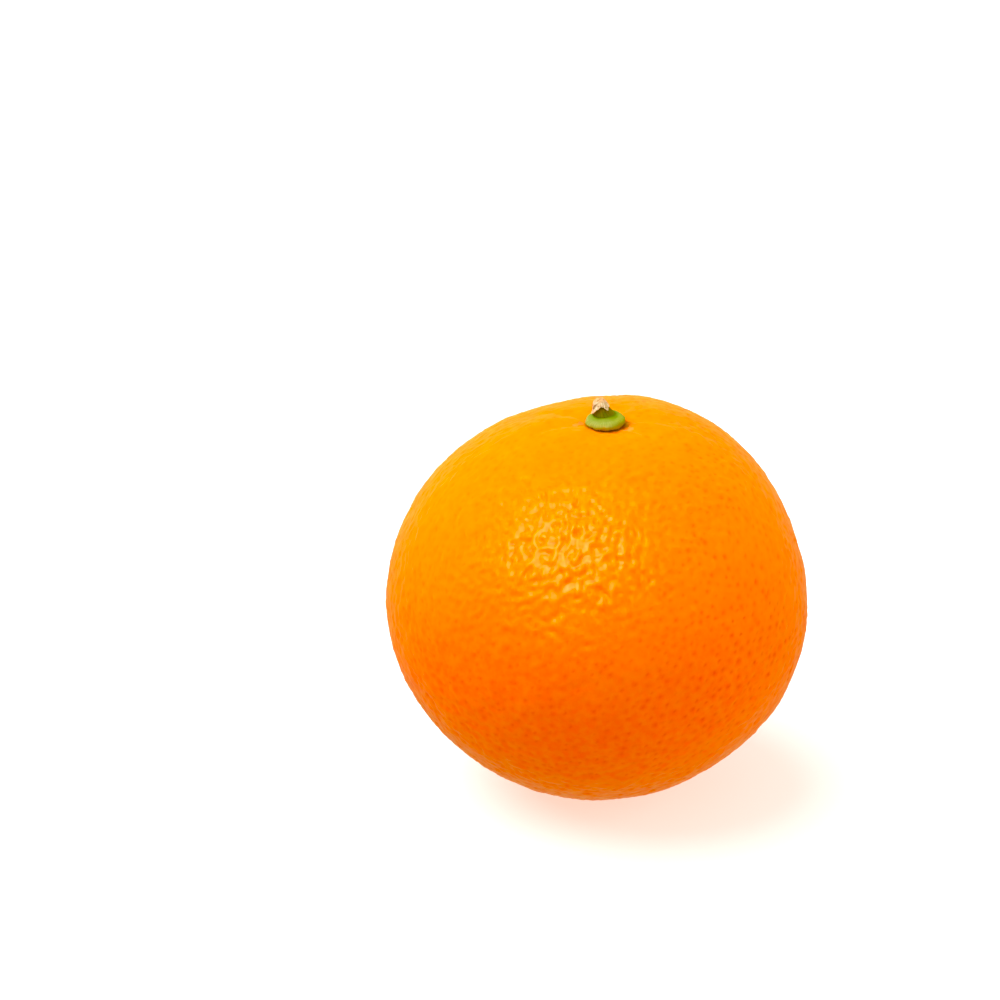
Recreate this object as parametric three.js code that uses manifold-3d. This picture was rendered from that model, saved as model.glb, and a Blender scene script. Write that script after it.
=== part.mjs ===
// A whole sweet orange as picked: the fruit in its pitted peel, the green calyx button at the stalk end,
// and the short dried stub of the stalk standing in the button.
// Millimetres and degrees, +Z up through the stalk end, -Y the front. The origin lies on the surface that
// the fruit rests on, below the middle of its outline.
import * as THREE from "three";
import { ConvexHull } from "three/addons/math/ConvexHull.js";
import { mergeVertices } from "three/addons/utils/BufferGeometryUtils.js";
import Module from "manifold-3d";

const wasm = await Module();
wasm.setup();

// Driving dimensions of the fruit.
const FRUIT_WIDTH = 80;
const FRUIT_HEIGHT = 76.8; // of the plain rounded form, before its hollows and its flat
const FLAT_RADIUS = 9; // of the flattened spot that the fruit rests on
const STALK_OFFSET = { x: 2.2, y: -2.6 }; // the stalk stands a little off the middle

// Swellings and slack places of the form: direction, rise of the peel and angular spread.
const SWELLS = [
  { name: "back left shoulder", azimuth: 128, polar: 34, rise: -1.0, spread: 24 },
  { name: "back right shoulder", azimuth: 38, polar: 44, rise: 1.45, spread: 26 },
  { name: "right shoulder", azimuth: 18, polar: 60, rise: 0.15, spread: 18 },
  { name: "right cheek", azimuth: -8, polar: 108, rise: 1.1, spread: 30 },
  { name: "left cheek", azimuth: 172, polar: 66, rise: -0.6, spread: 26 },
  { name: "left underside", azimuth: 200, polar: 130, rise: -0.75, spread: 30 },
  { name: "back", azimuth: 80, polar: 80, rise: 0.3, spread: 30 },
  { name: "front shoulder", azimuth: -60, polar: 60, rise: 0.35, spread: 30 },
  { name: "front left", azimuth: -120, polar: 95, rise: -0.3, spread: 28 },
  { name: "back underside", azimuth: 120, polar: 110, rise: -0.35, spread: 30 },
  { name: "ridge behind the stalk, right", azimuth: 60, polar: 29, rise: 0.3, spread: 8 },
  { name: "slack behind the stalk", azimuth: 119, polar: 29, rise: -0.15, spread: 8 },
  { name: "ridge behind the stalk, left", azimuth: 138, polar: 36, rise: 0.2, spread: 9 },
];

// The two ends of the fruit, and the faint furrows that run out from the stalk end.
const STALK_HOLLOW = { depth: 1.6, spread: 12 };
const BLOSSOM_HOLLOW = { depth: 1.5, spread: 4.5 };
const FURROWS = { count: 6, heading: 80, wander: 18, depth: 0.3, distance: 13, spread: 15, clear: 6 };

// The pits over the oil glands, larger and fewer than on the real peel.
const PITS = { count: 1900, depth: 0.25, scatter: 0.2, seed: 11 };

// The calyx button. Heights are above the seat cut in the fruit for it.
const SEAT = { depth: 0.5, clearance: 0.15, heightStep: 0.25, sides: 48 };
const CALYX = { radius: 3.7, height: 2.05, footRadius: 3.1, underside: 0.85, mound: 0.25, sides: 60 };
const CALYX_LOBES = { count: 5, heading: -8, share: 0.03, unevenness: 0.4, unevenHeading: -28 };
const CALYX_SLOPE = { x: 0.07, y: 0.065 }; // its top is lower at the left and all of it at the front
const SOCKET = { radius: 2.0, floor: 0.75, x: -0.1, y: 0.7, sides: 40 };

// The stalk stub, which leans to the left from its foot in the socket. Its dried bark ends in a lip on
// a slant, higher at the right, and its broken end above that is a rounded, uneven crown.
const STUB = { height: 4.7, lean: { x: -0.8, y: 0.1 }, sides: 24 };
const STUB_LEAN = { from: 0.2, to: 0.85 }; // shares of its height
const STUB_RIBS = { count: 5, heading: -15, flattening: 0.8, flatHeading: 75 };
const STUB_LIP = { slant: 0.08, from: 0.36, middle: 0.56, to: 0.8 }; // shares of its height
const STUB_CROWN = { from: 0.82, unevenness: 0.2, heading: -35 };
const STUB_RINGS = [
  { rise: 0, radius: 1.88, rib: 0 },
  { rise: 0.33, radius: 1.88, rib: 0 },
  { rise: 0.4, radius: 1.8, rib: 0.03 },
  { rise: 0.53, radius: 1.55, rib: 0.05 },
  { rise: 0.56, radius: 1.7, rib: 0.07 },
  { rise: 0.62, radius: 1.56, rib: 0.06 },
  { rise: 0.74, radius: 1.44, rib: 0.05 },
  { rise: 0.84, radius: 1.28, rib: 0.05 },
  { rise: 0.93, radius: 0.95, rib: 0.04 },
  { rise: 1, radius: 0.45, rib: 0.02 },
];

const GOLDEN_ANGLE = Math.PI * (3 - Math.sqrt(5));
const SAME_SPOT = 1e-4; // corners nearer than this are one corner

const peelMaterial = new THREE.MeshStandardMaterial({ color: 0xff7a08, roughness: 0.42, metalness: 0 });
const calyxMaterial = new THREE.MeshStandardMaterial({ color: 0x8fb43c, roughness: 0.6, metalness: 0 });
const stubMaterial = new THREE.MeshStandardMaterial({ color: 0xb89a78, roughness: 0.85, metalness: 0 });

// A bell curve of height 1, which falls to 1/e at distance 1.
function bell(distance) {
  return Math.exp(-distance * distance);
}

// A unit vector at an azimuth from +X towards +Y and a polar angle from +Z, both in degrees.
function towards(azimuth, polar) {
  const phi = THREE.MathUtils.degToRad(azimuth);
  const theta = THREE.MathUtils.degToRad(polar);
  return new THREE.Vector3(
    Math.sin(theta) * Math.cos(phi),
    Math.sin(theta) * Math.sin(phi),
    Math.cos(theta),
  );
}

// Repeatable draws from 0 to 1, by the mulberry32 rule.
function seededDraws(seed) {
  let state = seed;
  return () => {
    state = (state + 0x6d2b79f5) | 0;
    let mixed = Math.imul(state ^ (state >>> 15), 1 | state);
    mixed = (mixed + Math.imul(mixed ^ (mixed >>> 7), 61 | mixed)) ^ mixed;
    return ((mixed ^ (mixed >>> 14)) >>> 0) / 4294967296;
  };
}

const halfWidth = FRUIT_WIDTH / 2;
const halfHeight = FRUIT_HEIGHT / 2;
const stalkEnd = new THREE.Vector3(STALK_OFFSET.x, STALK_OFFSET.y, halfHeight).normalize();
const blossomEnd = new THREE.Vector3(0, 0, -1);
const swells = SWELLS.map((swell) => ({ ...swell, middle: towards(swell.azimuth, swell.polar) }));

// The angle in degrees between two unit vectors.
function angleBetween(a, b) {
  return THREE.MathUtils.radToDeg(a.angleTo(b));
}

// The depth of the furrows, which start clear of the stalk, wander and die out on the shoulders.
function furrowDepth(direction) {
  const fromStalk = angleBetween(direction, stalkEnd);
  const around = Math.atan2(direction.y - stalkEnd.y, direction.x - stalkEnd.x);
  const bend = THREE.MathUtils.degToRad(FURROWS.wander) * Math.sin(2 * around);
  const turn = around - THREE.MathUtils.degToRad(FURROWS.heading) + bend;
  const groove = (0.5 + 0.5 * Math.cos(FURROWS.count * turn)) ** 2;
  const fade = bell((fromStalk - FURROWS.distance) / FURROWS.spread);
  return FURROWS.depth * groove * fade * (1 - bell(fromStalk / FURROWS.clear));
}

// How far the peel lies from the middle of the fruit in one direction, pits left out.
function peelRadius(direction) {
  const across = Math.hypot(direction.x, direction.y) / halfWidth;
  const along = direction.z / halfHeight;
  let radius = 1 / Math.hypot(across, along);
  for (const swell of swells) {
    radius += swell.rise * bell(angleBetween(direction, swell.middle) / swell.spread);
  }
  radius -= STALK_HOLLOW.depth * bell(angleBetween(direction, stalkEnd) / STALK_HOLLOW.spread);
  radius -= BLOSSOM_HOLLOW.depth * bell(angleBetween(direction, blossomEnd) / BLOSSOM_HOLLOW.spread);
  return radius - furrowDepth(direction);
}

// Pit middles spread evenly over the unit sphere on a golden spiral, then scattered a little.
function pitDirections() {
  const draw = seededDraws(PITS.seed);
  const spacing = Math.sqrt((4 * Math.PI) / PITS.count);
  const scatter = () => (draw() - 0.5) * 2 * PITS.scatter * spacing;
  return Array.from({ length: PITS.count }, (_, i) => {
    const height = 1 - (2 * i + 1) / PITS.count;
    const ring = Math.sqrt(1 - height * height);
    const turn = i * GOLDEN_ANGLE;
    const spot = new THREE.Vector3(ring * Math.cos(turn), ring * Math.sin(turn), height);
    return spot.add(new THREE.Vector3(scatter(), scatter(), scatter())).normalize();
  });
}

// The fruit's whole surface. Each pit is a fan of triangles from its sunken middle to the middles of the
// triangles between it and its neighbours, which stay at the height of the peel.
function peelGeometry() {
  const hull = new ConvexHull().setFromPoints(pitDirections());
  const onPeel = (direction, sunk) => direction.clone().multiplyScalar(peelRadius(direction) - sunk);
  const rims = new Map();
  for (const face of hull.faces) {
    const sum = new THREE.Vector3();
    for (let edge = face.edge, i = 0; i < 3; i++, edge = edge.next) sum.add(edge.head().point);
    rims.set(face, onPeel(sum.normalize(), 0));
  }
  const corners = [];
  for (const face of hull.faces) {
    for (let edge = face.edge, i = 0; i < 3; i++, edge = edge.next) {
      const pit = onPeel(edge.tail().point, PITS.depth);
      corners.push(pit, rims.get(edge.twin.face), rims.get(face));
    }
  }
  return new THREE.BufferGeometry().setFromPoints(corners);
}

// A closed mesh as a solid that can be cut.
function solidOf(geometry) {
  const bare = new THREE.BufferGeometry();
  bare.setAttribute("position", geometry.getAttribute("position"));
  if (geometry.index) bare.setIndex(geometry.index);
  const merged = mergeVertices(bare, SAME_SPOT);
  return new wasm.Manifold(
    new wasm.Mesh({
      numProp: 3,
      vertProperties: new Float32Array(merged.attributes.position.array),
      triVerts: new Uint32Array(merged.index.array),
    }),
  );
}

// The faces of a solid, flat shaded.
function geometryOf(solid) {
  const mesh = solid.getMesh();
  const geometry = new THREE.BufferGeometry();
  geometry.setAttribute("position", new THREE.BufferAttribute(mesh.vertProperties, mesh.numProp));
  geometry.setIndex(new THREE.BufferAttribute(mesh.triVerts, 1));
  const flat = geometry.toNonIndexed();
  flat.computeVertexNormals();
  return flat;
}

// Height of the fruit's middle above the surface it rests on, with its underside cut to FLAT_RADIUS.
const middleHeight = halfHeight * Math.sqrt(1 - (FLAT_RADIUS / halfWidth) ** 2);

// How high the seat for the calyx button lies, in whole steps.
const seatHeight = (() => {
  const hollowFloor = middleHeight + peelRadius(stalkEnd) * stalkEnd.z;
  return Math.round((hollowFloor - SEAT.depth) / SEAT.heightStep) * SEAT.heightStep;
})();

// The fruit: its peel, cut flat where it rests and recessed for the foot of the calyx button.
function fruitGeometry() {
  const block = new THREE.BoxGeometry(FRUIT_WIDTH, FRUIT_WIDTH, FRUIT_WIDTH);
  block.translate(0, 0, -FRUIT_WIDTH / 2);
  const seatRadius = CALYX.footRadius + SEAT.clearance;
  const seat = new THREE.CylinderGeometry(seatRadius, seatRadius, FRUIT_WIDTH, SEAT.sides);
  seat.rotateX(Math.PI / 2);
  seat.translate(STALK_OFFSET.x, STALK_OFFSET.y, seatHeight + FRUIT_WIDTH / 2);
  const peel = peelGeometry().translate(0, 0, middleHeight);
  return geometryOf(solidOf(peel).subtract(solidOf(block)).subtract(solidOf(seat)));
}

// How much wider the calyx is at one heading, from its five fused sepals.
function calyxLobe(around) {
  const turn = around - THREE.MathUtils.degToRad(CALYX_LOBES.heading);
  const unevenTurn = around - THREE.MathUtils.degToRad(CALYX_LOBES.unevenHeading);
  const uneven = CALYX_LOBES.unevenness * Math.cos(2 * unevenTurn);
  return CALYX_LOBES.share * (Math.cos(CALYX_LOBES.count * turn) + uneven);
}

// The calyx: a rounded button of fused sepals, with a flat foot below, a thick rolled rim, a top that
// rises a little towards the stalk, and a socket for the stalk.
function calyxGeometry() {
  const { radius, height, footRadius, underside, mound } = CALYX;
  const profile = [
    [0, 0],
    [footRadius, 0],
    [footRadius, underside],
    [radius - 0.25, underside + 0.05],
    [radius - 0.05, underside + 0.25],
    [radius, underside + 0.55],
    [radius - 0.12, height - 0.35],
    [radius - 0.4, height - 0.1],
    [radius - 0.8, height],
    [radius - 1.3, height + 0.03],
    [radius - 2.1, height + mound],
    [0, height + mound],
  ].map(([across, up]) => new THREE.Vector2(across, up));
  const button = new THREE.LatheGeometry(profile, CALYX.sides);
  button.rotateX(Math.PI / 2);
  const spots = button.getAttribute("position");
  const spot = new THREE.Vector3();
  for (let i = 0; i < spots.count; i++) {
    spot.fromBufferAttribute(spots, i);
    const outward = THREE.MathUtils.smoothstep(Math.hypot(spot.x, spot.y), footRadius, radius);
    const wider = 1 + outward * calyxLobe(Math.atan2(spot.y, spot.x));
    const sideways = CALYX_SLOPE.x * spot.x * THREE.MathUtils.smoothstep(spot.z, underside, height - 0.4);
    const forwards = CALYX_SLOPE.y * spot.y * THREE.MathUtils.smoothstep(spot.z, 0, underside);
    spots.setXYZ(i, spot.x * wider, spot.y * wider, spot.z + sideways + forwards);
  }
  const socket = new THREE.CylinderGeometry(SOCKET.radius, SOCKET.radius, height, SOCKET.sides);
  socket.rotateX(Math.PI / 2);
  socket.translate(SOCKET.x, SOCKET.y, SOCKET.floor + height / 2);
  return geometryOf(solidOf(button).subtract(solidOf(socket)));
}

// One corner of the stalk stub, on a ring and at a heading round it.
function stubSpot({ rise, radius, rib }, around) {
  const { smoothstep, degToRad } = THREE.MathUtils;
  const ribs = Math.cos(STUB_RIBS.count * (around - degToRad(STUB_RIBS.heading)));
  const flat = STUB_RIBS.flattening * Math.cos(2 * (around - degToRad(STUB_RIBS.flatHeading)));
  const across = radius + rib * (ribs + flat);
  const lean = smoothstep(rise, STUB_LEAN.from, STUB_LEAN.to);
  const { slant, from, middle, to } = STUB_LIP;
  const nearLip = smoothstep(rise, from, middle) - smoothstep(rise, middle, to);
  const crown = smoothstep(rise, STUB_CROWN.from, 1);
  const uneven = STUB_CROWN.unevenness * crown * Math.cos(around - degToRad(STUB_CROWN.heading));
  return new THREE.Vector3(
    across * Math.cos(around) + STUB.lean.x * lean,
    across * Math.sin(around) + STUB.lean.y * lean,
    STUB.height * (rise + slant * nearLip * Math.cos(around)) + uneven,
  );
}

// The stalk stub, ring by ring.
function stubGeometry() {
  const ringSpots = STUB_RINGS.map((ring) =>
    Array.from({ length: STUB.sides }, (_, i) => stubSpot(ring, (2 * Math.PI * i) / STUB.sides)),
  );
  const footMiddle = new THREE.Vector3(0, 0, 0);
  const crownMiddle = new THREE.Vector3(STUB.lean.x, STUB.lean.y, STUB.height);
  const corners = [];
  for (let i = 0; i < STUB.sides; i++) {
    const next = (i + 1) % STUB.sides;
    corners.push(footMiddle, ringSpots[0][next], ringSpots[0][i]);
    for (let k = 0; k + 1 < STUB_RINGS.length; k++) {
      const [low, high] = [ringSpots[k], ringSpots[k + 1]];
      corners.push(low[i], low[next], high[next], low[i], high[next], high[i]);
    }
    corners.push(crownMiddle, ringSpots.at(-1)[i], ringSpots.at(-1)[next]);
  }
  return geometryOf(solidOf(new THREE.BufferGeometry().setFromPoints(corners)));
}

// A named mesh.
function piece(name, geometry, material) {
  const mesh = new THREE.Mesh(geometry, material);
  mesh.name = name;
  return mesh;
}

const fruit = piece("fruit", fruitGeometry(), peelMaterial);

const calyx = piece("calyx", calyxGeometry(), calyxMaterial);
const stub = piece("stalk_stub", stubGeometry(), stubMaterial);
stub.position.set(SOCKET.x, SOCKET.y, SOCKET.floor);
const stalkEndPieces = new THREE.Group();
stalkEndPieces.add(calyx, stub);
stalkEndPieces.position.set(STALK_OFFSET.x, STALK_OFFSET.y, seatHeight);

const orange = new THREE.Group();
orange.add(fruit, stalkEndPieces);

// The origin goes below the middle of the outline.
const outline = new THREE.Box3().setFromObject(fruit);
const middle = outline.getCenter(new THREE.Vector3());
orange.position.set(-middle.x, -middle.y, 0);

const part = new THREE.Group();
part.add(orange);

export default part;
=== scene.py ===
"""The looks of a whole sweet orange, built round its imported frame. Metres, +Z up, -Y the front.

The peel, the calyx button and the stalk stub are each rebuilt finer than in the frame, from the part's own
named sizes, which are in millimetres and degrees here as there.
"""

import math

import bmesh
import bpy
import numpy as np
from mathutils import Matrix, Vector, kdtree, noise


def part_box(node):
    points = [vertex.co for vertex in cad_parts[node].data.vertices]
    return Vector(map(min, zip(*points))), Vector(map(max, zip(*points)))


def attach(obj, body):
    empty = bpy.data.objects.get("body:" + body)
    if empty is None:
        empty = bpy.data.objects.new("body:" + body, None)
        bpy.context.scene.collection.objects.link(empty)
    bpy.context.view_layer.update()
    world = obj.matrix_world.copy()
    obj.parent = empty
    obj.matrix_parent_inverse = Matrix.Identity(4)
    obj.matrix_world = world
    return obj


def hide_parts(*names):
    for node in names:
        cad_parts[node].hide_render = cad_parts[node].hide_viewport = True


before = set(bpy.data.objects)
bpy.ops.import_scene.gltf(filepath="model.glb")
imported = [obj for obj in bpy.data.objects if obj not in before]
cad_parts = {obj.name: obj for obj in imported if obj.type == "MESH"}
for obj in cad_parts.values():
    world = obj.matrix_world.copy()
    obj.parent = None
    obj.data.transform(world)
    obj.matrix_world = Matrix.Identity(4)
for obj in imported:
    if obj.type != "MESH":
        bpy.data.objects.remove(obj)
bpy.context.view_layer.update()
FRUIT_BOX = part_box("fruit")
CALYX_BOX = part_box("calyx")

MM = 0.001
NOISE_REACH = 50  # how far a seed moves the noise, in lumps
GOLDEN_ANGLE = math.pi * (3 - math.sqrt(5))

# ---------------------------------------------------------------- the part's own sizes

FRUIT_WIDTH = 80.0
FRUIT_HEIGHT = 76.8
FLAT_RADIUS = 9.0
STALK_OFFSET = (2.2, -2.6)
SWELLS = [  # azimuth, polar, rise, spread
    (128, 34, -1.0, 24),
    (38, 44, 1.45, 26),
    (18, 60, 0.15, 18),
    (-8, 108, 1.1, 30),
    (172, 66, -0.6, 26),
    (200, 130, -0.75, 30),
    (80, 80, 0.3, 30),
    (-60, 60, 0.35, 30),
    (-120, 95, -0.3, 28),
    (120, 110, -0.35, 30),
    (60, 29, 0.3, 8),
    (119, 29, -0.15, 8),
    (138, 36, 0.2, 9),
]
STALK_HOLLOW = {"depth": 1.6, "spread": 12}
BLOSSOM_HOLLOW = {"depth": 1.5, "spread": 4.5}
FURROWS = {
    "count": 6,
    "heading": 80,
    "wander": 18,
    "depth": 0.3,
    "distance": 13,
    "spread": 15,
    "clear": 6,
}

CALYX = {"radius": 3.7, "height": 2.05, "foot": 3.1, "underside": 0.85, "mound": 0.25}
CALYX_LOBES = {"count": 5, "heading": -8, "share": 0.03, "unevenness": 0.4, "uneven_heading": -28}
CALYX_SLOPE = (0.07, 0.065)
SOCKET = {"radius": 2.0, "floor": 0.75, "x": -0.1, "y": 0.7}
STUB = {"height": 4.7, "lean": (-0.8, 0.1)}
STUB_LEAN = (0.2, 0.85)  # shares of its height

HALF_WIDTH = FRUIT_WIDTH / 2
HALF_HEIGHT = FRUIT_HEIGHT / 2
MIDDLE_HEIGHT = HALF_HEIGHT * math.sqrt(1 - (FLAT_RADIUS / HALF_WIDTH) ** 2)
SEAT_HEIGHT = CALYX_BOX[0][2] / MM

# ---------------------------------------------------------------- finer than in the frame

PEEL_CELLS = 127  # squares along each edge of the cube that the peel's mesh is swollen from
SEAM_DIGITS = 6  # points of two sides of that cube that agree this far are one point
PITS = {"count": 5100, "seed": 5, "scatter": 0.7, "relaxings": 2, "hold": 0.01, "unevenness": 0.4}
PORE = {"reach": 0.41, "depth": 0.06, "shallowest": 0.25}  # the opening in the middle of a pit
DIMPLE = {"reach": 0.62, "depth": 0.06}  # the wide hollow round it
FINE_LUMPS = [(1.05, 0.26, 21)]  # size, height, seed
BROAD_LUMPS = [(2.8, 0.1, 22), (5.0, 0.1, 24), (9.0, 0.16, 23)]
SMOOTH_END = {"level": 0.45, "from": 8, "to": 40}  # round the stalk the peel is smoother
ROUGH_PLACES = [  # azimuth, polar, rise, spread
    (-100, 50, 1.3, 25),
    (-38, 58, 0.15, 30),
    (160, 55, -0.2, 35),
]
ROUGHNESS = 0.62  # of the fine lumps and the pits, away from those places
SEAT_EDGE = (2.7, 3.3)  # from the stalk: a flat seat up to the first, the peel itself past the second

# Waves are written as the most waves in a turn, their seed and how fast the shorter ones weaken.
CALYX_MESH = {"rings": 72, "sectors": 240}
CALYX_TOP = (CALYX["underside"], CALYX["height"] - 0.4)  # the underside turns into the top in between
CALYX_OUTLINE = {"height": 0.01, "waves": (24, 31, 0.3)}  # the height is a share of the radius
CALYX_RIM = {"height": 0.1, "waves": (9, 33, 0.5)}
CALYX_RIBS = {"count": 46, "bend": 1.5, "bends": 3, "height": 0.7, "waves": (60, 32, 0)}
CALYX_RIBS_OUT = 0.012  # how far ribs of height 1 stand out from the rim
CALYX_RIBS_UP = 0.02  # and rise from the top
CALYX_RIBS_FADE = (SOCKET["radius"] - 0.2, CALYX["radius"] - 0.6)
CALYX_LOBES_RISE = 0.06
CALYX_LOBES_FADE = (SOCKET["radius"], CALYX["radius"] - 0.8)
CALYX_COLLAR = {"rise": 0.15, "width": 0.8}  # the raised edge round the stub
CALYX_LUMPS = [(0.7, 0.05, 34)]
FAR_FROM_STUB = 3.0  # what the hidden middle of the button's foot counts as

STUB_MESH = {"rings": 150, "sectors": 180}
STUB_OUTLINE = [  # height share, radius
    (0.12, 1.88),
    (0.28, 1.95),
    (0.35, 2.08),
    (0.43, 1.92),
    (0.53, 1.7),
    (0.62, 1.48),
    (0.7, 1.32),
    (0.78, 1.22),
    (0.86, 1.04),
    (0.93, 0.78),
    (0.985, 0.42),
    (1.0, 0.2),
]
FIBRES = {"height": 0.02, "more_on_bark": 0.015, "waves": (40, 41, 0.15), "from": 0.3, "to": 0.45}
BARK_EDGE = [  # heading round the stub from +X, height above the calyx button
    (-140, 0.8),
    (-115, 1.4),
    (-98, 1.75),
    (-84, 1.9),
    (-70, 1.75),
    (-57, 1.4),
    (-45, 1.2),
    (-30, 1.45),
    (0, 1.7),
    (60, 1.5),
    (120, 1.1),
    (180, 0.1),
]
BARK_RAGS = {"height": 0.07, "waves": (40, 43, 0.3)}
BARK_START = (-0.07, 0.05)  # the bark sets in between these heights over its edge
BARK_LIFT = 0.12
BARK_LUMPS = [(0.62, 0.13, 44), (0.3, 0.06, 45)]
BARK_MIDDLE = 0.7  # a share of the stub's height: the lumps push the bark away from there
BARK_CURL = {"rise": 0.12, "middle": 0.1, "spread": 0.17}
BARK_CREASE = {"heading": -160, "spread": 42, "depth": 0.32, "above": 0.95, "width": 0.2}
SPLIT = {"heading": -92, "spread": 40, "depth": 0.3, "below": 0.55, "height": 0.7}  # under the bark in front


def bell(distance):
    """A bell curve of height 1, which falls to 1/e at distance 1."""
    return np.exp(-np.square(distance))


def smoothstep(value, low, high):
    share = np.clip((value - low) / (high - low), 0, 1)
    return share * share * (3 - 2 * share)


def towards(azimuth, polar):
    """A unit vector at an azimuth from +X towards +Y and a polar angle from +Z, both in degrees."""
    phi, theta = math.radians(azimuth), math.radians(polar)
    return np.array([math.sin(theta) * math.cos(phi), math.sin(theta) * math.sin(phi), math.cos(theta)])


def normalised(vectors):
    return vectors / np.linalg.norm(vectors, axis=-1, keepdims=True)


def angle_to(directions, middle):
    """Degrees between each unit vector and one other."""
    return np.degrees(np.arccos(np.clip(directions @ middle, -1, 1)))


STALK_END = normalised(np.array([*STALK_OFFSET, HALF_HEIGHT]))
BLOSSOM_END = np.array([0.0, 0.0, -1.0])


def peel_radius(directions):
    """How far the peel lies from the middle of the fruit in each direction, pits left out."""
    across = np.hypot(directions[:, 0], directions[:, 1]) / HALF_WIDTH
    radius = 1 / np.hypot(across, directions[:, 2] / HALF_HEIGHT)
    for azimuth, polar, rise, spread in SWELLS:
        radius += rise * bell(angle_to(directions, towards(azimuth, polar)) / spread)
    from_stalk = angle_to(directions, STALK_END)
    radius -= STALK_HOLLOW["depth"] * bell(from_stalk / STALK_HOLLOW["spread"])
    radius -= BLOSSOM_HOLLOW["depth"] * bell(angle_to(directions, BLOSSOM_END) / BLOSSOM_HOLLOW["spread"])
    around = np.arctan2(directions[:, 1] - STALK_END[1], directions[:, 0] - STALK_END[0])
    turn = around - math.radians(FURROWS["heading"])
    turn += math.radians(FURROWS["wander"]) * np.sin(2 * around)
    groove = (0.5 + 0.5 * np.cos(FURROWS["count"] * turn)) ** 2
    fade = bell((from_stalk - FURROWS["distance"]) / FURROWS["spread"])
    fade *= 1 - bell(from_stalk / FURROWS["clear"])
    return radius - FURROWS["depth"] * groove * fade


def lumps(spots, size, seed):
    """Smooth noise from about -1 to 1 over spots in millimetres, with lumps of about the given size."""
    shifted = spots / size + np.random.default_rng(seed).uniform(-NOISE_REACH, NOISE_REACH, 3)
    return np.array([noise.noise(spot) for spot in shifted.tolist()])


def with_lumps(rise, spots, layers):
    """Heights with layers of lumps added to them, each layer a size, a height and a seed."""
    for size, height, seed in layers:
        rise = rise + height * lumps(spots, size, seed)
    return rise


# ---------------------------------------------------------------- meshes


def new_object(name, spots, faces, floats=None):
    """A smooth-shaded object from points in millimetres, with named numbers stored on its points."""
    mesh = bpy.data.meshes.new(name)
    mesh.from_pydata((np.asarray(spots) * MM).tolist(), [], faces)
    mesh.shade_smooth()
    for label, values in (floats or {}).items():
        layer = mesh.attributes.new(label, "FLOAT", "POINT")
        layer.data.foreach_set("value", np.asarray(values, dtype=np.float32))
    mesh.update()
    thing = bpy.data.objects.new(name, mesh)
    bpy.context.scene.collection.objects.link(thing)
    return thing


def hull_triangles(directions):
    """The triangles between neighbouring points of a sphere, as rows of three indices, facing out."""
    shell = bmesh.new()
    for spot in directions:
        shell.verts.new(spot)
    bmesh.ops.convex_hull(shell, input=shell.verts[:])
    bmesh.ops.triangulate(shell, faces=shell.faces[:])
    shell.verts.index_update()
    triangles = np.array([[corner.index for corner in face.verts] for face in shell.faces])
    shell.free()
    a, b, c = (directions[triangles[:, k]] for k in range(3))
    inward = np.einsum("ij,ij->i", np.cross(b - a, c - a), a) < 0
    triangles[inward] = triangles[inward][:, ::-1]
    return triangles


def relaxed(directions, triangles):
    """Each point moved nearly to the middle of its neighbours, which evens out crowded and empty places."""
    total = directions * PITS["hold"]
    for tail, head in ((0, 1), (1, 2), (2, 0)):
        np.add.at(total, triangles[:, tail], directions[triangles[:, head]])
    return normalised(total)


def even_directions(count):
    """Unit vectors spread evenly over a sphere, along a spiral."""
    step = np.arange(count) + 0.5
    height = 1 - 2 * step / count
    ring = np.sqrt(1 - height**2)
    return np.stack([ring * np.cos(step * GOLDEN_ANGLE), ring * np.sin(step * GOLDEN_ANGLE), height], axis=1)


def pit_middles():
    """Directions of the pits, irregular but evenly spread."""
    draw = np.random.default_rng(PITS["seed"])
    spots = even_directions(PITS["count"])
    spacing = math.sqrt(4 * math.pi / PITS["count"])
    spots = normalised(spots + draw.uniform(-PITS["scatter"], PITS["scatter"], spots.shape) * spacing)
    for _ in range(PITS["relaxings"]):
        spots = relaxed(spots, hull_triangles(spots))
    return spots[np.unique(hull_triangles(spots))]


def nearest(places, spots):
    """For each place, which of the spots is the nearest and how far away it is."""
    tree = kdtree.KDTree(len(spots))
    for index, spot in enumerate(spots.tolist()):
        tree.insert(spot, index)
    tree.balance()
    found = np.array([tree.find(place)[1:] for place in places.tolist()])
    return found[:, 0].astype(int), found[:, 1]


def square_grid(cells):
    """The quads of a square grid of points, as rows of four indices."""
    corner = (np.arange(cells)[:, None] * (cells + 1) + np.arange(cells)).ravel()
    return np.stack([corner, corner + cells + 1, corner + cells + 2, corner + 1], axis=1)


def cube_sphere(cells):
    """Unit vectors all over a sphere, and the quads between them: a cube of square grids, swollen round."""
    steps = np.tan(np.linspace(-math.pi / 4, math.pi / 4, cells + 1))
    a, b = np.meshgrid(steps, steps, indexing="ij")
    one = np.ones_like(a)
    sides = [(one, a, b), (b, one, a), (a, b, one), (-one, b, a), (a, -one, b), (b, a, -one)]
    spots = normalised(np.concatenate([np.stack(side, axis=-1).reshape(-1, 3) for side in sides]))
    quads = np.concatenate([square_grid(cells) + side * (cells + 1) ** 2 for side in range(len(sides))])
    _, first, merged = np.unique(
        spots.round(SEAM_DIGITS) + 0.0, axis=0, return_index=True, return_inverse=True
    )
    return spots[first], merged.reshape(-1)[quads]


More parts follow.
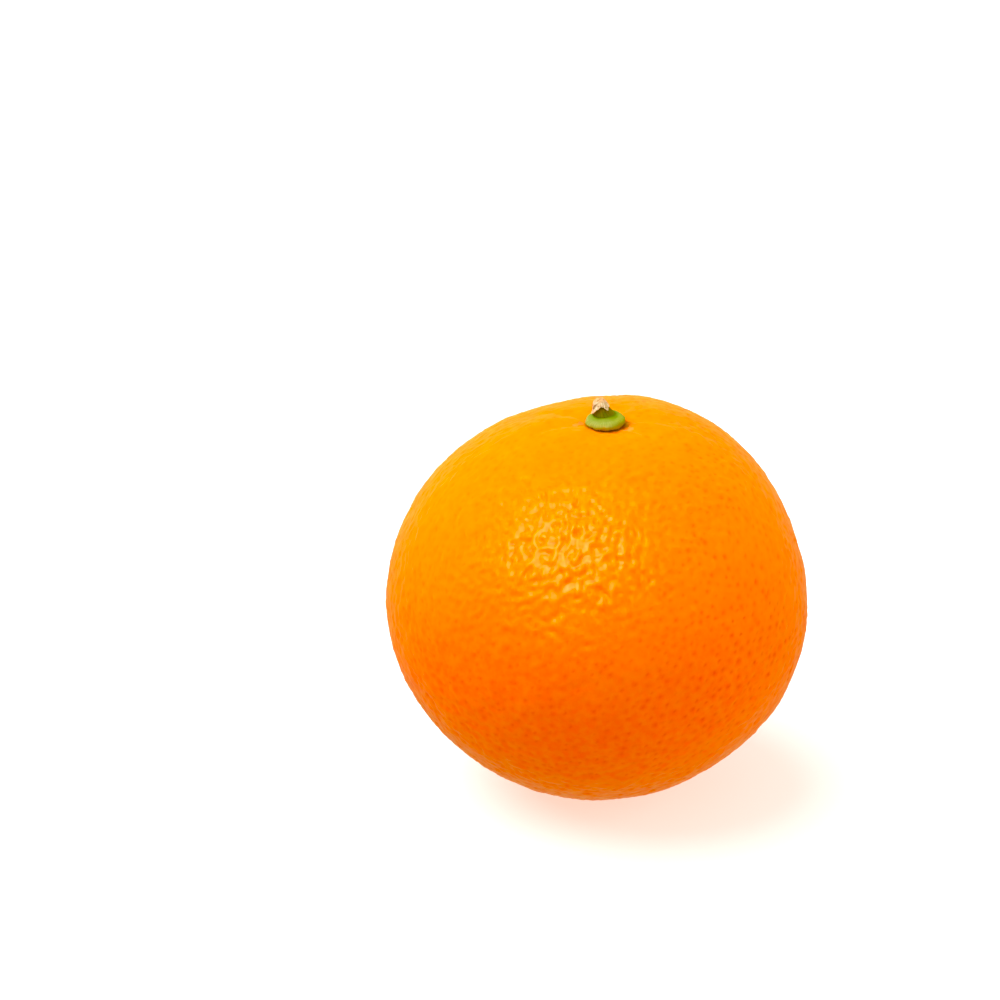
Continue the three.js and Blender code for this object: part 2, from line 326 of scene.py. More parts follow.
def build_peel():
    """The peel: low lumps all over, with a dimple at each oil gland and a pore in the middle of it.

    Gives the object, and how far it was moved to lie in the middle of the frame's fruit.
    """
    directions, quads = cube_sphere(PEEL_CELLS)
    middles = pit_middles()
    count = len(middles)
    directions[nearest(middles, directions)[0]] = middles  # a point of the mesh in each pit
    pit, away = nearest(directions, middles)
    away *= HALF_WIDTH
    draw = np.random.default_rng(PITS["seed"] + 1)
    uneven = PITS["unevenness"]
    reach = PORE["reach"] * draw.uniform(1 - uneven, 1 + uneven, count)
    depth = draw.uniform(PORE["shallowest"], 1.0, count)
    hollow = draw.uniform(1 - uneven, 1 + uneven, count)
    pore = depth[pit] * bell(away / reach[pit])
    rise = -PORE["depth"] * pore - DIMPLE["depth"] * hollow[pit] * bell(away / DIMPLE["reach"])
    rise = with_lumps(rise, directions * HALF_WIDTH, FINE_LUMPS)
    roughness = np.full(len(directions), ROUGHNESS)
    for azimuth, polar, more, spread in ROUGH_PLACES:
        roughness += more * bell(angle_to(directions, towards(azimuth, polar)) / spread)
    rise *= roughness
    past_end = smoothstep(angle_to(directions, STALK_END), SMOOTH_END["from"], SMOOTH_END["to"])
    rise *= SMOOTH_END["level"] + (1 - SMOOTH_END["level"]) * past_end
    rise = with_lumps(rise, directions * HALF_WIDTH, BROAD_LUMPS)
    spots = directions * (peel_radius(directions) + rise)[:, None]
    spots[:, 2] += MIDDLE_HEIGHT

    # The seat for the calyx button, and the flat spot below.
    from_axis = np.hypot(spots[:, 0] - STALK_OFFSET[0], spots[:, 1] - STALK_OFFSET[1])
    over_seat = (spots[:, 2] > MIDDLE_HEIGHT) * (1 - smoothstep(from_axis, *SEAT_EDGE))
    spots[:, 2] = spots[:, 2] * (1 - over_seat) + SEAT_HEIGHT * over_seat
    spots[:, 2] = np.maximum(spots[:, 2], 0)

    lowest, highest = spots.min(axis=0), spots.max(axis=0)
    shift = np.array((FRUIT_BOX[0] + FRUIT_BOX[1]) / 2) / MM - (lowest + highest) / 2
    spots[:, :2] += shift[:2]
    return new_object("orange_peel", spots, quads.tolist(), {"pit": pore}), shift


def spline(points, count):
    """A smooth curve through a few points, as evenly many points as asked."""
    points = np.asarray(points, dtype=float)
    ahead = np.vstack([2 * points[0] - points[1], points, 2 * points[-1] - points[-2]])
    place = np.linspace(0, len(points) - 1, count)
    span = np.minimum(place.astype(int), len(points) - 2)
    t = (place - span)[:, None]
    a, b, c, d = (ahead[span + k] for k in range(4))
    return 0.5 * (2 * b + (c - a) * t + (2 * a - 5 * b + 4 * c - d) * t**2 + (3 * b - a - 3 * c + d) * t**3)


def grid_faces(rings, sectors):
    """Quads of a tube of rings, with a point at each end after them."""
    ring, sector = np.meshgrid(np.arange(rings - 1), np.arange(sectors), indexing="ij")
    following = (sector + 1) % sectors
    here, above = ring * sectors, (ring + 1) * sectors
    corners = [here + sector, here + following, above + following, above + sector]
    quads = np.stack(corners, axis=-1).reshape(-1, 4)
    first, last = rings * sectors, rings * sectors + 1
    low = [[first, (k + 1) % sectors, k] for k in range(sectors)]
    top = (rings - 1) * sectors
    high = [[last, top + k, top + (k + 1) % sectors] for k in range(sectors)]
    return quads.tolist() + low + high


def on_grid(values, shape, first, last):
    """A number for each point of a tube of rings, and one for each of the two points at its ends."""
    return [*np.broadcast_to(values, shape).ravel(), first, last]


def turn_from(heading, middle):
    """Degrees from one heading to others, between -180 and 180."""
    return (heading - middle + 180) % 360 - 180


def wavy(around, count, seed, steepness):
    """Seeded unevenness of about unit height round a circle, from 2 up to count waves a turn."""
    draw = np.random.default_rng(seed)
    waves = np.arange(2, count + 1)
    heights = draw.normal(size=len(waves)) / waves**steepness
    phases = draw.uniform(0, 2 * math.pi, len(waves))
    total = (heights[:, None] * np.sin(waves[:, None] * around.reshape(1, -1) + phases[:, None])).sum(axis=0)
    return (total / np.sqrt((heights**2).sum() / 2)).reshape(around.shape)


def calyx_profile():
    """Half of a cut through the calyx button, from the middle of its foot round the rim to the socket."""
    radius, height, foot = CALYX["radius"], CALYX["height"], CALYX["foot"]
    underside, mound = CALYX["underside"], CALYX["mound"]
    return [  # radius, height
        (foot - 0.1, 0),
        (foot, 0.3),
        (foot + 0.02, underside - 0.15),
        (radius - 0.3, underside - 0.08),
        (radius - 0.05, underside + 0.2),
        (radius, underside + 0.55),
        (radius - 0.12, height - 0.35),
        (radius - 0.4, height - 0.1),
        (radius - 0.8, height),
        (radius - 1.3, height + 0.03),
        (radius - 2.1, height + mound),
        (radius - 2.9, height + mound),
    ]


def build_calyx(stalk):
    """The calyx button: fused sepals with a thick rolled rim, and a top that rises to the stalk."""
    shape = rings, sectors = CALYX_MESH["rings"], CALYX_MESH["sectors"]
    profile = spline(calyx_profile(), rings)
    across, up = profile[:, :1], profile[:, 1:]
    outward = smoothstep(across, CALYX["foot"], CALYX["radius"])
    above = smoothstep(up, *CALYX_TOP)

    around = np.linspace(0, 2 * math.pi, sectors, endpoint=False)
    turn = around - math.radians(CALYX_LOBES["heading"])
    uneven = np.cos(2 * (around - math.radians(CALYX_LOBES["uneven_heading"])))
    lobe = np.cos(CALYX_LOBES["count"] * turn) + CALYX_LOBES["unevenness"] * uneven
    lobe = CALYX_LOBES["share"] * lobe + CALYX_OUTLINE["height"] * wavy(around, *CALYX_OUTLINE["waves"])
    bent = CALYX_RIBS["count"] * around + CALYX_RIBS["bend"] * np.sin(CALYX_RIBS["bends"] * around)
    ribs = CALYX_RIBS["height"] * np.cos(bent) + CALYX_RIBS["height"] * wavy(around, *CALYX_RIBS["waves"])

    wide = across * (1 + outward * lobe) + CALYX_RIBS_OUT * outward * ribs
    x, y = wide * np.cos(around), wide * np.sin(around)
    z = up + CALYX_SLOPE[0] * x * above + CALYX_SLOPE[1] * y * smoothstep(up, 0, CALYX["underside"])
    z += outward * (1 - above) * CALYX_RIM["height"] * wavy(around, *CALYX_RIM["waves"])
    z += above * CALYX_RIBS_UP * ribs * smoothstep(across, *CALYX_RIBS_FADE)
    lifted = above * CALYX_LOBES_RISE * np.cos(CALYX_LOBES["count"] * turn)
    z += lifted * smoothstep(across, *CALYX_LOBES_FADE)
    from_stub = np.hypot(x - SOCKET["x"], y - SOCKET["y"])
    past_collar = smoothstep(from_stub, SOCKET["radius"], SOCKET["radius"] + CALYX_COLLAR["width"])
    z += above * CALYX_COLLAR["rise"] * (1 - past_collar)

    spots = np.stack([x, y, z], axis=-1).reshape(-1, 3)
    spots[:, 2] += with_lumps(0, spots, CALYX_LUMPS) * np.repeat(above[:, 0], sectors)
    spots = np.vstack([spots, [0, 0, 0], [0, 0, CALYX["height"] + CALYX["mound"]]])
    spots += (*stalk, SEAT_HEIGHT)
    numbers = {
        "along": on_grid(np.linspace(0, 1, rings)[:, None], shape, 0, 1),
        "streak": on_grid(0.5 + 0.25 * ribs, shape, 0.5, 0.5),
        "from_stub": on_grid(from_stub, shape, FAR_FROM_STUB, 0),
        "side": on_grid(np.cos(around), shape, 0, 0),
    }
    return new_object("calyx_button", spots, grid_faces(rings, sectors), numbers)


def build_stub(stalk):
    """The stalk stub: dark green and split below, with dried bark over it that ends in a ragged edge."""
    shape = rings, sectors = STUB_MESH["rings"], STUB_MESH["sectors"]
    outline = spline(STUB_OUTLINE, rings)
    rise, radius = outline[:, :1], outline[:, 1:]
    around = np.linspace(0, 2 * math.pi, sectors, endpoint=False)
    heading = np.degrees(around)

    above_calyx = STUB["height"] * rise + SOCKET["floor"] - CALYX["height"] - CALYX["mound"]
    edge = np.interp(heading, *np.array(sorted(BARK_EDGE)).T, period=360)
    edge = edge + BARK_RAGS["height"] * wavy(around, *BARK_RAGS["waves"])
    over = above_calyx - edge
    bark = smoothstep(over, *BARK_START)
    fibres = wavy(around, *FIBRES["waves"])
    split = bell(turn_from(heading, SPLIT["heading"]) / SPLIT["spread"])
    split = split * bell((over + SPLIT["below"]) / SPLIT["height"]) * (1 - bark)
    crease = bell(turn_from(heading, BARK_CREASE["heading"]) / BARK_CREASE["spread"])
    crease = crease * bell((over - BARK_CREASE["above"]) / BARK_CREASE["width"])

    across = radius + BARK_LIFT * bark - SPLIT["depth"] * split - BARK_CREASE["depth"] * crease
    across += BARK_CURL["rise"] * bark * bell((over - BARK_CURL["middle"]) / BARK_CURL["spread"])
    fibre_height = FIBRES["height"] + FIBRES["more_on_bark"] * bark
    across += fibre_height * fibres * smoothstep(rise, FIBRES["from"], FIBRES["to"])
    lean = smoothstep(rise, *STUB_LEAN)
    x = across * np.cos(around) + STUB["lean"][0] * lean
    y = across * np.sin(around) + STUB["lean"][1] * lean

    spots = np.stack([x, y, np.broadcast_to(STUB["height"] * rise, x.shape)], axis=-1).reshape(-1, 3)
    outward = normalised(spots - (*STUB["lean"], STUB["height"] * BARK_MIDDLE))
    spots += outward * (with_lumps(0, spots, BARK_LUMPS) * bark.ravel())[:, None]
    ends = [(0, 0, STUB["height"] * rise[0, 0]), spots[-sectors:].mean(axis=0)]
    spots = np.vstack([spots, ends])
    spots += (stalk[0] + SOCKET["x"], stalk[1] + SOCKET["y"], SEAT_HEIGHT + SOCKET["floor"])
    numbers = {
        "rise": on_grid(rise, shape, rise[0, 0], 1),
        "fibre": on_grid(0.5 + 0.25 * fibres, shape, 0.5, 0.5),
        "over": on_grid(over, shape, -1, 1),
        "crease": on_grid(crease, shape, 0, 0),
        "side": on_grid(np.cos(around), shape, 0, 0),
    }
    return new_object("stalk_stub_wood", spots, grid_faces(rings, sectors), numbers)


# ---------------------------------------------------------------- materials


def srgb(*levels):
    """A colour written as 0 to 255 levels, as the linear numbers that Blender takes."""
    shares = (level / 255 for level in levels)
    linear = (share / 12.92 if share <= 0.04045 else ((share + 0.055) / 1.055) ** 2.4 for share in shares)
    return (*linear, 1.0)


class Nodes:
    """A material's node tree, with short calls for the nodes used here.

    Places and distances in it are in metres, but lengths that a mesh's points hold stay in millimetres.
    """

    def __init__(self, name):
        self.material = bpy.data.materials.new(name)
        self.material.use_nodes = True
        self.tree = self.material.node_tree
        self.shader = self.tree.nodes["Principled BSDF"]

    def add(self, kind, settings=None, **inputs):
        node = self.tree.nodes.new(kind)
        for key, value in (settings or {}).items():
            setattr(node, key, value)
        for key, value in inputs.items():
            self.feed(node.inputs[key.replace("_", " ")], value)
        return node

    def feed(self, socket, value):
        if isinstance(value, bpy.types.NodeSocket):
            self.tree.links.new(value, socket)
        else:
            socket.default_value = value

    def place(self):
        return self.add("ShaderNodeTexCoord").outputs["Object"]

    def number(self, label):
        return self.add("ShaderNodeAttribute", {"attribute_name": label}).outputs["Fac"]

    def noise(self, scale, detail=3.0, roughness=0.5):
        """Noise from 0 to 1."""
        node = self.add("ShaderNodeTexNoise", None, Scale=scale, Detail=detail, Roughness=roughness)
        self.feed(node.inputs["Vector"], self.place())
        return node.outputs["Fac"]

    def math(self, operation, a, b):
        node = self.add("ShaderNodeMath", {"operation": operation})
        self.feed(node.inputs[0], a)
        self.feed(node.inputs[1], b)
        return node.outputs[0]

    def uneven(self, value, noise, width):
        """A value with noise added to it, which is as wide as asked and has its middle at 0."""
        return self.math("ADD", value, self.math("MULTIPLY", self.math("SUBTRACT", noise, 0.5), width))

    def span(self, value, low, high, to_low=0.0, to_high=1.0):
        """A smooth step from one number to another as a value goes from low to high."""
        node = self.add("ShaderNodeMapRange", {"interpolation_type": "SMOOTHSTEP"})
        for key, number in (("From Min", low), ("From Max", high), ("To Min", to_low), ("To Max", to_high)):
            node.inputs[key].default_value = number
        self.feed(node.inputs["Value"], value)
        return node.outputs[0]

    def mix(self, share, a, b):
        """Colour a where share is 0, colour b where it is 1."""
        node = self.add("ShaderNodeMix", {"data_type": "RGBA"})
        self.feed(node.inputs[0], share)
        self.feed(node.inputs[6], a)
        self.feed(node.inputs[7], b)
        return node.outputs[2]

    def shaded(self, ground, value, shade):
        """A ground with a shade over it. The share of the shade's colour follows a value."""
        colour, *steps = shade
        return self.mix(self.span(value, *steps), ground, colour)

    def distance(self, point):
        """How far each place is from a point."""
        node = self.add("ShaderNodeVectorMath", {"operation": "DISTANCE"})
        self.feed(node.inputs[0], self.place())
        node.inputs[1].default_value = point
        return node.outputs["Value"]

    def grain(self, scale, strength, depth):
        """Fine relief all over the surface."""
        node = self.add("ShaderNodeBump", None, Strength=strength, Distance=depth)
        self.feed(node.inputs["Height"], self.noise(scale, detail=4.0, roughness=0.6))
        self.feed(self.shader.inputs["Normal"], node.outputs["Normal"])


# Noise scales are in lumps a metre. A shade is a colour, two values of what it follows, and the share that
# the colour has at the one and at the other.
NOISE_SPAN = (0.3, 0.7)  # where most noise lies

# The darker, redder low colour is partly the peel's own tone and partly painted shade; the pit colour is
# painted shade.
PEEL_COLOURS = {  # linear, because they lie at the edge of what a screen can show
    "low": (1.0, 0.1, 0.0, 1),
    "high": (1.0, 0.19, 0.0, 1),
    "pit": (0.86, 0.06, 0.0, 1),
}
PEEL_SHADES = {
    "specks": ((1.0, 0.24, 0.0, 1), *NOISE_SPAN, 0.0, 0.35),
    # painted shade: a brown ring where the button meets the peel
    "shade round the button": (srgb(140, 84, 20), 0.0037, 0.0047, 0.65, 0.0),
    "navel": (srgb(150, 100, 52), 0.0012, 0.0022, 0.85, 0.0),
}
PEEL_NOISE = {"clouds": 38, "specks": 520, "rags": 700, "wax": 700}
PEEL_TONE_AND_SHADE_HEIGHTS = (0.01, 0.074)  # the colour goes from low to high between these heights
CLOUDS = 0.5  # how uneven that is
# Painted shade in the pits: more of it low down and at the right, where the light grazes the peel.
PIT_SHADE_LOW = {"heights": (0.03, 0.06), "shares": (0.75, 0.3)}  # the pits are darker low down
PIT_SHADE_RIGHT = {"places": (0.0, 0.025), "shares": (0.0, 0.4)}  # and at the right
# Spots by the calyx button: the pale pink ones are painted highlights, the brown ones painted shade.
BUTTON_LIGHT_SPOTS = [  # place from the middle of the calyx button in millimetres, reach, colour
    ((-4.4, 0.0), 1.0, (190, 110, 52)),
    ((-5.7, -0.7), 0.9, (226, 132, 60)),
    ((4.3, 0.3), 1.2, (170, 92, 20)),
    ((4.9, -1.9), 1.0, (234, 140, 66)),
    ((3.2, -2.7), 0.7, (234, 140, 66)),
]
LIGHT_SPOT_RISE = 0.6  # of their middles over the seat
LIGHT_SPOT_CORE = 0.5  # up to this share of its reach a spot is at its strongest
LIGHT_SPOT_SHARE = 0.85  # the share of its colour there
PAINTED_LIGHT_RAGS = 0.0024  # how ragged its edge is
NAVEL = (0, 0, 0.001)  # the middle of the dry spot at the blossom end
PEEL_ROUGHNESS = (0.34, 0.42)
DULL_PITS = 0.08  # the roughness that a pit adds
PEEL_GRAIN = {"scale": 1900, "strength": 0.6, "depth": 0.00006}
ORANGE_SHINE = (1.0, 0.45, 0.1, 1)
GREEN_SHINE = (1.0, 0.5, 0.15, 1)


def peel_ground(n):
    """The peel's orange: paler in fine specks, darker in the pits, and redder low down, partly as painted
    shade.
    """
    place = n.add("ShaderNodeSeparateXYZ", None, Vector=n.place())
    height, across = place.outputs["Z"], place.outputs["X"]
    clouds = n.noise(PEEL_NOISE["clouds"], detail=2.0)
    # Darker and redder towards the bottom: partly the peel's own tone, partly painted shade.
    tone_and_shade = n.uneven(n.span(height, *PEEL_TONE_AND_SHADE_HEIGHTS), clouds, CLOUDS)
    ground = n.mix(n.span(tone_and_shade, 0.0, 1.0), PEEL_COLOURS["low"], PEEL_COLOURS["high"])
    specks = n.noise(PEEL_NOISE["specks"], roughness=0.6)
    ground = n.shaded(ground, specks, PEEL_SHADES["specks"])
    # Painted shade in the pits, stronger low down and at the right.
    low = n.span(height, *PIT_SHADE_LOW["heights"], *PIT_SHADE_LOW["shares"])
    right = n.span(across, *PIT_SHADE_RIGHT["places"], *PIT_SHADE_RIGHT["shares"])
    pit_shade = n.math("MULTIPLY", n.number("pit"), n.math("ADD", low, right))
    return n.mix(pit_shade, ground, PEEL_COLOURS["pit"])


def peel_painted_light(n, ground, stalk):
    """The peel's colour with painted highlights and shade beside the button, a ring of painted shade round
    it and the dry blossom end.
    """
    rags = n.noise(PEEL_NOISE["rags"])
    # Painted highlights and painted shade in spots beside the button.
    for (x, y), reach, colour in BUTTON_LIGHT_SPOTS:
        spot = ((stalk[0] + x) * MM, (stalk[1] + y) * MM, (SEAT_HEIGHT + LIGHT_SPOT_RISE) * MM)
        away = n.uneven(n.distance(spot), rags, PAINTED_LIGHT_RAGS)
        ground = n.shaded(ground, away, (srgb(*colour), reach * LIGHT_SPOT_CORE * MM, reach * MM, LIGHT_SPOT_SHARE, 0.0))
    button = (stalk[0] * MM, stalk[1] * MM, SEAT_HEIGHT * MM)
    away = n.uneven(n.distance(button), rags, PAINTED_LIGHT_RAGS)
    # Painted shade, brown, where the button meets the peel.
    ground = n.shaded(ground, away, PEEL_SHADES["shade round the button"])
    return n.shaded(ground, n.distance(NAVEL), PEEL_SHADES["navel"])


def peel_material(stalk):
    """Waxy peel. Light goes about 2 mm into it, and it mirrors orange more than blue."""
    n = Nodes("peel")
    n.feed(n.shader.inputs["Base Color"], peel_painted_light(n, peel_ground(n), stalk))
    waxy = n.span(n.noise(PEEL_NOISE["wax"]), *NOISE_SPAN, *PEEL_ROUGHNESS)
    dull_pits = n.math("MULTIPLY", n.number("pit"), DULL_PITS)
    n.feed(n.shader.inputs["Roughness"], n.math("ADD", waxy, dull_pits))
    n.shader.inputs["IOR"].default_value = 1.42
    n.shader.inputs["Subsurface Weight"].default_value = 1.0
    n.shader.inputs["Subsurface Radius"].default_value = (1.0, 0.6, 0.2)
    n.shader.inputs["Subsurface Scale"].default_value = 0.002
    n.shader.inputs["Specular Tint"].default_value = ORANGE_SHINE
    n.grain(**PEEL_GRAIN)
    return n.material


CALYX_COLOURS = {
    "dark rib": srgb(112, 127, 50),
    "light rib": srgb(129, 138, 64),
    "dark dry rim": srgb(74, 44, 10),
    "light dry rim": srgb(152, 116, 22),
}
CALYX_SHADES = {
    "blotches": (srgb(137, 142, 78), 0.4, 0.7, 0.0, 0.5),
    "right": (srgb(122, 130, 24), 0.1, 1.0, 0.0, 0.7),
    "near the stub": (srgb(96, 124, 28), 2.3, 3.4, 0.8, 0.0),
    # painted shade: the darkest ring, at the stub's foot
    "shade at the stub": (srgb(52, 74, 6), 1.95, 2.5, 0.85, 0.0),
    "yellowed edge": (srgb(138, 122, 20), 0.4, 0.54, 0.85, 0.0),
}
CALYX_NOISE = {"blotches": 900, "rim": 1100, "dry patches": 1300}
RIB_SPAN = (0.1, 0.9)  # from a dark rib to a light one
DRY_PATCHES = (0.42, 0.6)  # from the dark dry rim to the light one
DRY_RIM = (0.32, 0.42, 0.95, 0.0)  # two places from the foot to the top, and the shares of brown at them
STUB_RING_RAGS = 0.5
RIM_RAGS = 0.42
CALYX_ROUGHNESS = (0.5, 0.65)
CALYX_GRAIN = {"scale": 3200, "strength": 0.4, "depth": 0.00005}


def calyx_material():
    """Green of many shades, darker round the stub with painted shade at its foot, yellowed at the edge and
    dried to brown under it.
    """
    n = Nodes("calyx")
    colours, shades = CALYX_COLOURS, CALYX_SHADES
    blotches = n.noise(CALYX_NOISE["blotches"])
    green = n.mix(n.span(n.number("streak"), *RIB_SPAN), colours["dark rib"], colours["light rib"])
    green = n.shaded(green, blotches, shades["blotches"])
    green = n.shaded(green, n.number("side"), shades["right"])
    from_stub = n.uneven(n.number("from_stub"), blotches, STUB_RING_RAGS)
    green = n.shaded(green, from_stub, shades["near the stub"])
    # Painted shade at the stub's foot.
    green = n.shaded(green, from_stub, shades["shade at the stub"])
    along = n.uneven(n.number("along"), n.noise(CALYX_NOISE["rim"]), RIM_RAGS)
    green = n.shaded(green, along, shades["yellowed edge"])
    patches = n.span(n.noise(CALYX_NOISE["dry patches"], detail=2.0), *DRY_PATCHES)
    brown = n.mix(patches, colours["dark dry rim"], colours["light dry rim"])
    n.feed(n.shader.inputs["Base Color"], n.mix(n.span(along, *DRY_RIM), green, brown))
    n.feed(n.shader.inputs["Roughness"], n.span(blotches, *NOISE_SPAN, *CALYX_ROUGHNESS))
    n.shader.inputs["IOR"].default_value = 1.4
    n.shader.inputs["Specular Tint"].default_value = GREEN_SHINE
    n.grain(**CALYX_GRAIN)
    return n.material


STUB_COLOURS = {
    "dark green": srgb(34, 50, 4),
    "light green": srgb(54, 76, 8),
    "dark bark": srgb(176, 152, 116),
    "light bark": srgb(204, 188, 154),
    "crease": srgb(86, 52, 20),
    # painted shadow in the crease under the bark's flake
    "crack": srgb(120, 84, 44),
}
STUB_SHADES = {
    "brown at the bark": (srgb(62, 52, 8), -1.1, -0.5, 0.0, 1.0),
    "right": (srgb(92, 88, 14), 0.3, 0.9, 0.0, 1.0),
    "pink bark": (srgb(190, 148, 122), 0.45, 0.7, 0.0, 0.6),
    "broken top": (srgb(200, 146, 98), 0.84, 1.0, 0.0, 0.8),
}
STUB_NOISE = {"blotches": 1100, "cracks": 1500}
FIBRE_SPAN = (0.25, 0.75)  # from a dark fibre to a light one
BARK_PAINT = (-0.03, 0.05)  # the bark's colour sets in between these heights over its edge
BARK_PAINT_RAGS = 0.25
CREASE_SHADOW_SHARE = 0.9
CRACKS = (0.34, 0.46, 0.75, 0.0)  # two levels of their noise, and how much they show at them
CRACKS_FROM = (0.0, 0.3)  # heights over the bark's edge
STUB_ROUGHNESS = (0.65, 0.85)
STUB_GRAIN = {"scale": 4200, "strength": 0.5, "depth": 0.00006}


def stub_material():
    """Dark green below, and above the ragged edge pale dry bark with cracks, a painted shadow in its crease
    and a warmer broken top.
    """
    n = Nodes("stalk")
    colours, shades = STUB_COLOURS, STUB_SHADES
    blotches = n.noise(STUB_NOISE["blotches"], detail=4.0)
    over = n.uneven(n.number("over"), blotches, BARK_PAINT_RAGS)
    fibre = n.span(n.number("fibre"), *FIBRE_SPAN)
    green = n.mix(fibre, colours["dark green"], colours["light green"])
    green = n.shaded(green, over, shades["brown at the bark"])
    green = n.shaded(green, n.number("side"), shades["right"])
    bark = n.mix(fibre, colours["dark bark"], colours["light bark"])
    bark = n.shaded(bark, blotches, shades["pink bark"])
    bark = n.shaded(bark, n.number("rise"), shades["broken top"])
    # Painted shadow in the bark's crease.
    bark = n.mix(n.math("MULTIPLY", n.number("crease"), CREASE_SHADOW_SHARE), bark, colours["crease"])
    colour = n.mix(n.span(over, *BARK_PAINT), green, bark)
    cracks = n.span(n.noise(STUB_NOISE["cracks"], detail=2.0), *CRACKS)
    cracks = n.math("MULTIPLY", cracks, n.span(over, *CRACKS_FROM))
    n.feed(n.shader.inputs["Base Color"], n.mix(cracks, colour, colours["crack"]))
    n.feed(n.shader.inputs["Roughness"], n.span(blotches, *NOISE_SPAN, *STUB_ROUGHNESS))
    n.shader.inputs["Specular Tint"].default_value = GREEN_SHINE
    n.grain(**STUB_GRAIN)
    return n.material


FLOOR_GREYS = ((0.5, 0.5, 0.5, 1), (0.52, 0.52, 0.52, 1))
FLOOR_CLOUDS = 3.0
FLOOR_GLOW = (0.72, 0.58, 0.5, 1)


def floor_material():
    """Pale and matt, with a glow of its own that leaves only a faint warm shadow by the fruit."""
    n = Nodes("floor")
    cloudy = n.mix(n.noise(FLOOR_CLOUDS, detail=2.0), *FLOOR_GREYS)
    n.feed(n.shader.inputs["Base Color"], cloudy)
    n.shader.inputs["Emission Color"].default_value = FLOOR_GLOW
    n.shader.inputs["Emission Strength"].default_value = 1.0
    n.shader.inputs["Roughness"].default_value = 0.9
    n.shader.inputs["Specular IOR Level"].default_value = 0.0
    return n.material


# ---------------------------------------------------------------- camera, lights, floor

PHOTO_SIDE = 1000  # pixels
FRUIT_PIXEL = (593.2, 596.7)  # where the middle of the fruit shows
PIXELS_PER_MM = 5.21
ELEVATION = 25.5
LENS = 100.0  # mm
SENSOR = 36.0  # mm
CLIP = (0.01, 100)  # the nearest and the farthest that the camera sees
LAMPS = {  # direction from the fruit; level is the lamp's brightness where white is 1
    "glint": {
        "direction": (-0.252, -0.525, 0.813),
        "distance": 0.9,
        "width": 0.4,
        "flatness": 0.8,
        "level": 100.0,
        "colour": (0.2, 0.28, 1),
        "diffuse": False,
    },
    "halo": {
        "direction": (-0.22, -0.56, 0.8),
        "distance": 0.95,
        "width": 0.9,
        "level": 14.0,
        "colour": (1, 1, 0.3),
        "diffuse": False,
    },
    "overhead": {
        "direction": (-0.47, 0.11, 0.84),
        "distance": 1.3,
        "width": 1.8,
        "level": 4.9,
        "glossy": False,
    },
    "front": {
        "direction": (-0.25, -1.0, -0.2),
        "distance": 1.1,
        "width": 1.2,
        "level": 0.95,
        "glossy": False,
    },
    "right": {
        "direction": (0.95, -0.2, 0.25),
        "distance": 1.1,
        "width": 1.2,
        "level": 1.7,
        "glossy": False,
    },
}
HORIZON = (-0.12, 0.02)  # heights of a direction: the room goes from low to high in between
ROOM = {
    "low": (0.74, 0.7, 0.66, 1),
    "high": (0.64, 0.64, 0.64, 1),
    "mirrored": (0.78, 0.74, 0.45, 1),
    "seen": (1, 1, 1, 1),
}
FLOOR = {"reach": 1.5, "cells": 8}
BLACK_LEVEL = (0, 0, 0.04)  # takes the last blue out of the oranges, as in the photo


def place_camera(middle):
    """A camera that looks down at the fruit from the front and shows it where the picture has it."""
    focal = LENS / SENSOR * PHOTO_SIDE
    distance = focal / PIXELS_PER_MM * MM
    tilt = math.radians(ELEVATION)
    back = Vector((0, -math.cos(tilt), math.sin(tilt)))
    right, up = Vector((1, 0, 0)), Vector((0, math.sin(tilt), math.cos(tilt)))
    seen = Vector(((FRUIT_PIXEL[0] - PHOTO_SIDE / 2) / focal, (PHOTO_SIDE / 2 - FRUIT_PIXEL[1]) / focal, -1))
    facing = Matrix((right, up, back)).transposed().to_quaternion()
    camera = bpy.data.objects.new("camera", bpy.data.cameras.new("camera"))
    bpy.context.scene.collection.objects.link(camera)
    camera.data.lens, camera.data.sensor_width = LENS, SENSOR
    camera.data.clip_start, camera.data.clip_end = CLIP
    camera.rotation_mode = "QUATERNION"
    camera.rotation_quaternion = facing @ seen.normalized().rotation_difference(Vector((0, 0, -1)))
    camera.location = middle + back * distance
    bpy.context.scene.camera = camera


def softbox(
    name,
    middle,
    direction,
    distance,
    width,
    level,
    flatness=1.0,
    colour=(1, 1, 1),
    diffuse=True,
    glossy=True,
):
    """A round or oval lamp facing the fruit, which lights it, shows as a reflection in it, or both."""
    lamp = bpy.data.lights.new(name, "AREA")
    lamp.shape = "ELLIPSE"
    lamp.size, lamp.size_y = width, width * flatness
    lamp.energy = level * math.pi**2 * width**2 * flatness / 4
    lamp.color = colour
    holder = bpy.data.objects.new(name, lamp)
    bpy.context.scene.collection.objects.link(holder)
    direction = Vector(direction).normalized()
    holder.location = middle + direction * distance
    holder.rotation_mode = "QUATERNION"
    holder.rotation_quaternion = direction.to_track_quat("Z", "Y")
    holder.visible_camera = False
    holder.visible_diffuse = diffuse
    holder.visible_glossy = glossy


def blend(tree, share, low, high):
    """The colour low where share is 0 and high where it is 1; each is a colour or an output."""
    node = tree.nodes.new("ShaderNodeMix")
    node.data_type = "RGBA"
    tree.links.new(share, node.inputs[0])
    for socket, value in ((node.inputs[6], low), (node.inputs[7], high)):
        if isinstance(value, tuple):
            socket.default_value = value
        else:
            tree.links.new(value, socket)
    return node.outputs[2]


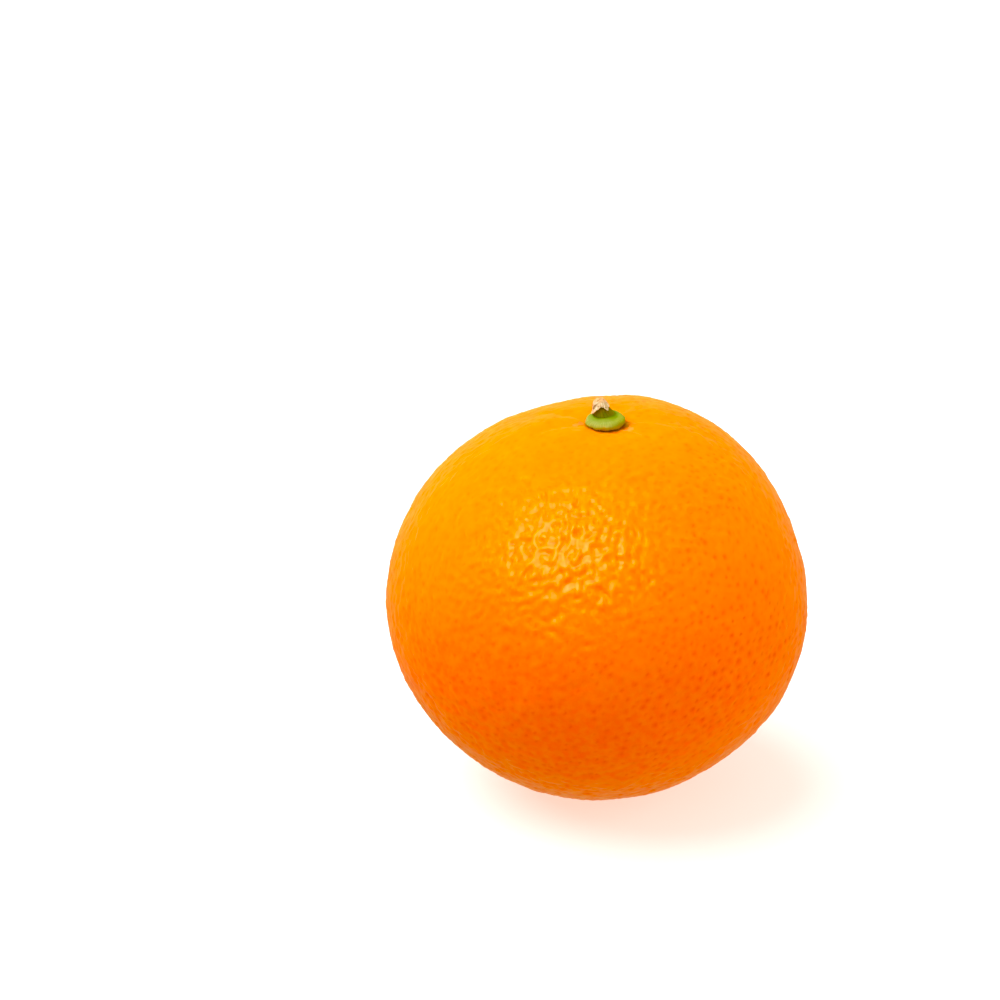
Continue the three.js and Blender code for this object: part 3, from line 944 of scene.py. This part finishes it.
def light_the_room():
    """A pale room, a little warmer below than above. It looks white, and yellowish where it is mirrored."""
    world = bpy.data.worlds.new("studio")
    world.use_nodes = True
    bpy.context.scene.world = world
    tree = world.node_tree
    path = tree.nodes.new("ShaderNodeLightPath")
    coordinates = tree.nodes.new("ShaderNodeTexCoord")
    parts = tree.nodes.new("ShaderNodeSeparateXYZ")
    height = tree.nodes.new("ShaderNodeMapRange")
    height.inputs["From Min"].default_value, height.inputs["From Max"].default_value = HORIZON
    tree.links.new(coordinates.outputs["Generated"], parts.inputs[0])
    tree.links.new(parts.outputs["Z"], height.inputs["Value"])
    lit = blend(tree, height.outputs[0], ROOM["low"], ROOM["high"])
    lit = blend(tree, path.outputs["Is Glossy Ray"], lit, ROOM["mirrored"])
    lit = blend(tree, path.outputs["Is Camera Ray"], lit, ROOM["seen"])
    tree.links.new(lit, tree.nodes["Background"].inputs["Color"])


def build_floor():
    """A square floor in a grid. It is only seen: the peel's light comes from the lamps and the room."""
    cells = FLOOR["cells"]
    steps = np.linspace(-FLOOR["reach"], FLOOR["reach"], cells + 1) / MM
    x, y = np.meshgrid(steps, steps, indexing="ij")
    spots = np.stack([x.ravel(), y.ravel(), np.zeros(x.size)], axis=1)
    floor = new_object("floor", spots, square_grid(cells).tolist())
    floor.data.materials.append(floor_material())
    floor.visible_diffuse = False
    floor.visible_glossy = False


# ---------------------------------------------------------------- the scene

view = bpy.context.scene.view_settings
view.view_transform = "Standard"
view.use_curve_mapping = True
view.curve_mapping.black_level = BLACK_LEVEL
view.curve_mapping.update()

peel, shift = build_peel()
stalk = (STALK_OFFSET[0] + shift[0], STALK_OFFSET[1] + shift[1])
middle = Vector((shift[0], shift[1], MIDDLE_HEIGHT)) * MM
peel.data.materials.append(peel_material(stalk))
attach(peel, "root")
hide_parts("fruit")

calyx = build_calyx(stalk)
calyx.data.materials.append(calyx_material())
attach(calyx, "root")
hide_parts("calyx")

stub = build_stub(stalk)
stub.data.materials.append(stub_material())
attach(stub, "root")
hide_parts("stalk_stub")

build_floor()
for name, lamp in LAMPS.items():
    softbox(name, middle, **lamp)
light_the_room()
place_camera(middle)
